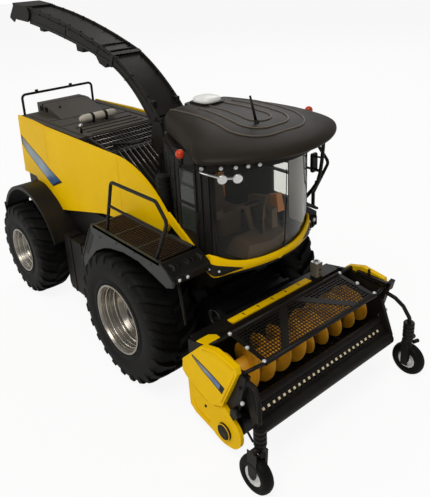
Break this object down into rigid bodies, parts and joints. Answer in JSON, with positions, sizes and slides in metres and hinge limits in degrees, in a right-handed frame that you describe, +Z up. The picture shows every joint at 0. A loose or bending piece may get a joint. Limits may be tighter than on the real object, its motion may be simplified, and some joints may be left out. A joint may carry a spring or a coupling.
{
  "type": "forage harvester scale model",
  "caption": "Scale model of a self-propelled forage harvester: cab, pick-up header that lifts, turning discharge spout, steered rear wheels and rolling tyres.",
  "frame": {"origin": "under the middle of the model, on the floor", "axes": "+X forward to the header, +Y to the machine's left, +Z up"},
  "size_m": [0.2682, 0.1032, 0.1652],
  "materials": {
    "yellow_paint": "golden yellow gloss enamel",
    "black_plastic": "black, semi-matt moulded",
    "dark_grey_plastic": "dark grey, semi-matt moulded",
    "grey_metal": "dark grey enamel on die-cast metal",
    "silver_paint": "silver grey enamel",
    "tyre_rubber": "soft black rubber",
    "tinted_glass": "clear tinted plastic",
    "lamp_silver": "silver-painted lamps",
    "beacon_orange": "orange-red beads",
    "orange_paint": "orange-yellow enamel",
    "beige_plastic": "beige moulded"
  },
  "bodies": {
    "chassis": {"chassis_frame": "grey_metal", "front_axle": "grey_metal", "rear_axle": "grey_metal", "body_core": "black_plastic", "side_panel_right": "yellow_paint", "side_panel_left": "yellow_paint", "engine_deck": "dark_grey_plastic", "radiator_screen": "dark_grey_plastic", "air_tank": "beige_plastic", "rear_rail": "black_plastic", "rear_fender_right": "black_plastic", "rear_fender_left": "black_plastic", "platform_right": "dark_grey_plastic", "platform_left": "dark_grey_plastic", "handrail_right": "black_plastic", "handrail_left": "black_plastic", "cab_floor": "black_plastic", "cab_frame": "black_plastic", "windscreen": "tinted_glass", "side_glass": "tinted_glass", "cab_roof": "dark_grey_plastic", "lamp_bar": "black_plastic", "work_lamps": "lamp_silver", "beacons": "beacon_orange", "mirrors": "lamp_silver", "cab_interior": "black_plastic", "cab_belt": "yellow_paint", "intake_stack": "black_plastic"},
    "front_wheel_right": {"front_tyre_right": "tyre_rubber", "front_rim_right": "silver_paint"},
    "front_wheel_left": {"front_tyre_left": "tyre_rubber", "front_rim_left": "silver_paint"},
    "rear_knuckle_right": {"knuckle_right": "grey_metal"},
    "rear_knuckle_left": {"knuckle_left": "grey_metal"},
    "rear_wheel_right": {"rear_tyre_right": "tyre_rubber", "rear_rim_right": "silver_paint"},
    "rear_wheel_left": {"rear_tyre_left": "tyre_rubber", "rear_rim_left": "silver_paint"},
    "steering_tie_rod": {"tie_rod": "grey_metal"},
    "turret": {"spout_turret": "black_plastic"},
    "boom": {"spout_boom": "black_plastic"},
    "lift_cylinder": {"lift_barrel": "black_plastic"},
    "lift_piston": {"lift_rod": "silver_paint"},
    "flap": {"deflector": "black_plastic"},
    "flap_tip": {"deflector_tip": "black_plastic"},
    "header": {"feeder_house": "grey_metal", "header_frame": "yellow_paint", "header_socket": "silver_paint", "header_shield_right": "yellow_paint", "header_shield_left": "yellow_paint", "mesh_guard": "black_plastic", "gauge_arms": "black_plastic"},
    "feed_auger": {"auger": "orange_paint"},
    "pickup_reel": {"tine_reel": "silver_paint"},
    "roller_guard": {"wind_guard": "black_plastic"},
    "castor_right": {"castor_fork_right": "silver_paint"},
    "castor_left": {"castor_fork_left": "silver_paint"},
    "support_wheel_right": {"gauge_wheel_right": "black_plastic"},
    "support_wheel_left": {"gauge_wheel_left": "black_plastic"}
  },
  "joints": [
    {"name": "front_wheel_spin_right", "type": "hinge", "parent": "chassis", "child": "front_wheel_right", "pos_m": [0.03785, -0.0394, 0.0325], "axis": [0, 1, 0], "continuous": true},
    {"name": "front_wheel_spin_left", "type": "hinge", "parent": "chassis", "child": "front_wheel_left", "pos_m": [0.03785, 0.0394, 0.0325], "axis": [0, 1, 0], "continuous": true},
    {"name": "steer_right", "type": "hinge", "parent": "chassis", "child": "rear_knuckle_right", "pos_m": [-0.07315, -0.026, 0.0274], "axis": [0, 0, 1], "range_deg": [-20, 20]},
    {"name": "steer_left", "type": "hinge", "parent": "chassis", "child": "rear_knuckle_left", "pos_m": [-0.07315, 0.026, 0.0274], "axis": [0, 0, 1], "range_deg": [-20, 20]},
    {"name": "tie_rod_pin", "type": "hinge", "parent": "rear_knuckle_right", "child": "steering_tie_rod", "pos_m": [-0.08515, -0.026, 0.021], "axis": [0, 0, 1], "range_deg": [-20, 20]},
    {"name": "rear_wheel_spin_right", "type": "hinge", "parent": "rear_knuckle_right", "child": "rear_wheel_right", "pos_m": [-0.07315, -0.0395, 0.0274], "axis": [0, 1, 0], "continuous": true},
    {"name": "rear_wheel_spin_left", "type": "hinge", "parent": "rear_knuckle_left", "child": "rear_wheel_left", "pos_m": [-0.07315, 0.0395, 0.0274], "axis": [0, 1, 0], "continuous": true},
    {"name": "spout_turn", "type": "hinge", "parent": "chassis", "child": "turret", "pos_m": [0.02385, 0, 0.1003], "axis": [0, 0, 1], "range_deg": [-100, 100]},
    {"name": "spout_lift", "type": "hinge", "parent": "turret", "child": "boom", "pos_m": [0.02285, 0, 0.112], "axis": [0, 1, 0], "range_deg": [-12, 12]},
    {"name": "lift_cylinder_pin", "type": "hinge", "parent": "turret", "child": "lift_cylinder", "pos_m": [0.01185, 0, 0.106], "axis": [0, 1, 0], "range_deg": [-13, 13]},
    {"name": "lift_piston_slide", "type": "slide", "parent": "lift_cylinder", "child": "lift_piston", "axis": [-0.6247, 0, 0.7809], "range_m": [-0.0027, 0.0027]},
    {"name": "flap_tilt", "type": "hinge", "parent": "boom", "child": "flap", "pos_m": [-0.10455, 0, 0.16], "axis": [0, -1, 0], "range_deg": [0, 35]},
    {"name": "flap_tip_tilt", "type": "hinge", "parent": "flap", "child": "flap_tip", "pos_m": [-0.12275, 0, 0.1616], "axis": [0, -1, 0], "range_deg": [0, 40]},
    {"name": "header_lift", "type": "hinge", "parent": "chassis", "child": "header", "pos_m": [0.05585, 0, 0.041], "axis": [0, -1, 0], "range_deg": [0, 10]},
    {"name": "auger_spin", "type": "hinge", "parent": "header", "child": "feed_auger", "pos_m": [0.09985, 0, 0.03], "axis": [0, 1, 0], "continuous": true},
    {"name": "reel_spin", "type": "hinge", "parent": "header", "child": "pickup_reel", "pos_m": [0.10545, 0, 0.0111], "axis": [0, 1, 0], "continuous": true},
    {"name": "roller_guard_tilt", "type": "hinge", "parent": "header", "child": "roller_guard", "pos_m": [0.11285, 0, 0.0405], "axis": [0, -1, 0], "range_deg": [0, 20]},
    {"name": "castor_swivel_right", "type": "hinge", "parent": "header", "child": "castor_right", "pos_m": [0.12655, -0.047, 0.022], "axis": [0, 0, 1], "range_deg": [-20, 20]},
    {"name": "castor_swivel_left", "type": "hinge", "parent": "header", "child": "castor_left", "pos_m": [0.12655, 0.047, 0.022], "axis": [0, 0, 1], "range_deg": [-20, 20]},
    {"name": "support_wheel_spin_right", "type": "hinge", "parent": "castor_right", "child": "support_wheel_right", "pos_m": [0.12635, -0.0491, 0.0078], "axis": [0, 1, 0], "continuous": true},
    {"name": "support_wheel_spin_left", "type": "hinge", "parent": "castor_left", "child": "support_wheel_left", "pos_m": [0.12635, 0.0491, 0.0078], "axis": [0, 1, 0], "continuous": true}
  ],
  "couplings": [
    {"joint": "steer_left", "follows": "steer_right", "ratio": 1},
    {"joint": "tie_rod_pin", "follows": "steer_right", "ratio": -1},
    {"joint": "lift_cylinder_pin", "follows": "spout_lift", "ratio": 1.0683},
    {"joint": "lift_piston_slide", "follows": "spout_lift", "m_per_rad": 0.012336}
  ]
}
